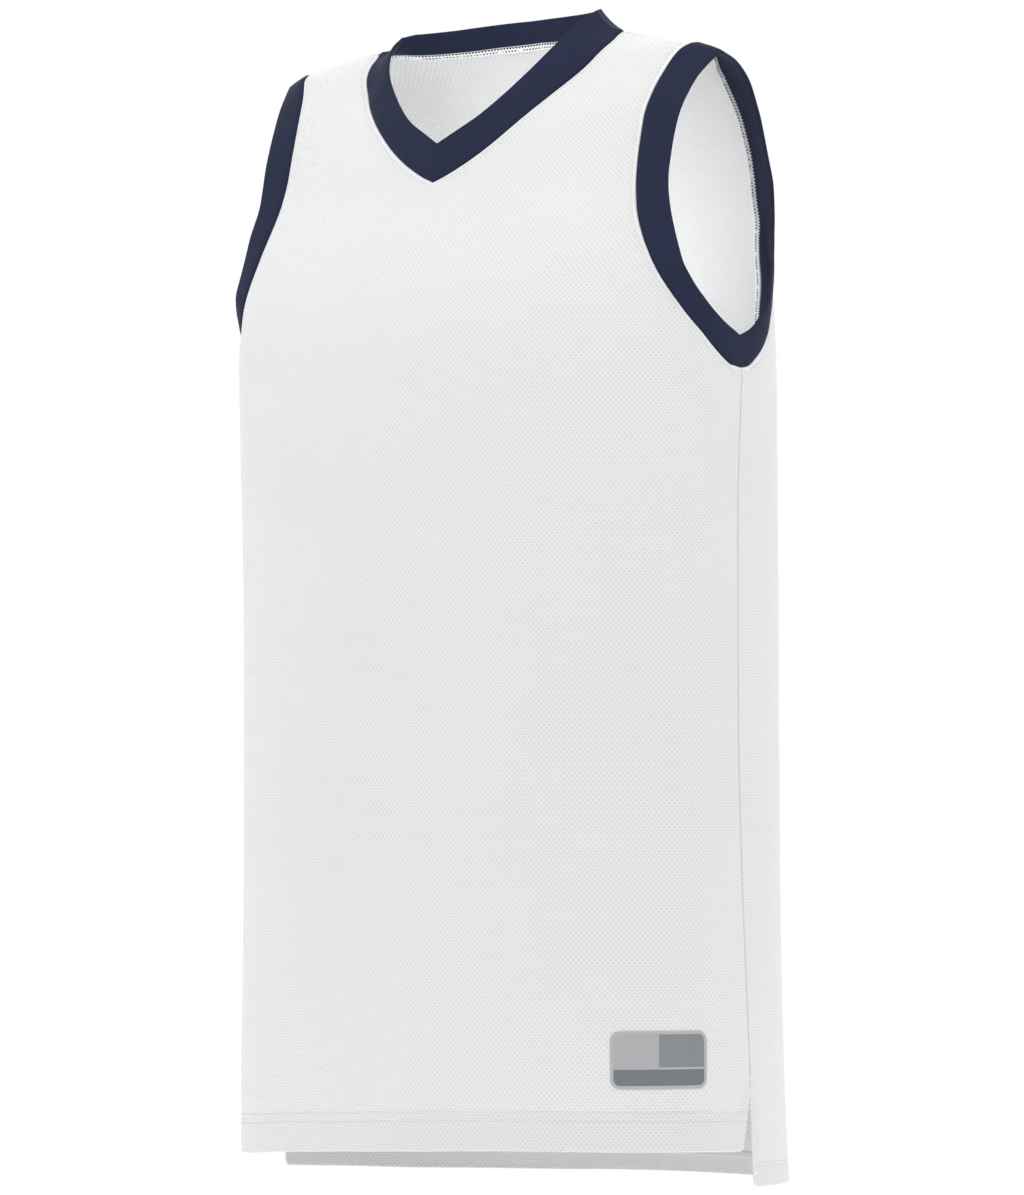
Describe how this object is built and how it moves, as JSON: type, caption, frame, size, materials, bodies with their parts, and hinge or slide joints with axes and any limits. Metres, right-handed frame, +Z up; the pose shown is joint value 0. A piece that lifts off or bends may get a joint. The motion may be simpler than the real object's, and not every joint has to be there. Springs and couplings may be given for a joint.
{
  "type": "basketball jersey",
  "caption": "Sleeveless V-neck basketball jersey in white mesh with navy bands at neck and armholes, side vents and a dropped back hem, filled out with no wearer",
  "frame": {"origin": "midway between the two neck points, at the height of the shoulder line that a wearer's shoulders carry", "axes": "+Z up the wearer's back, -Y out of the garment's front, +X to the wearer's left"},
  "size_m": [0.3902, 0.267, 0.7846],
  "materials": {
    "white_mesh": "matt white polyester micromesh knit",
    "navy_rib": "smooth navy knit with a faint sheen",
    "grey_tag": "matt pressed-on film in two greys"
  },
  "bodies": {
    "root": {"front_panel": "white_mesh", "back_panel": "white_mesh", "neckband": "navy_rib", "left_armhole_band": "navy_rib", "right_armhole_band": "navy_rib", "hem_tag": "grey_tag"}
  },
  "joints": []
}
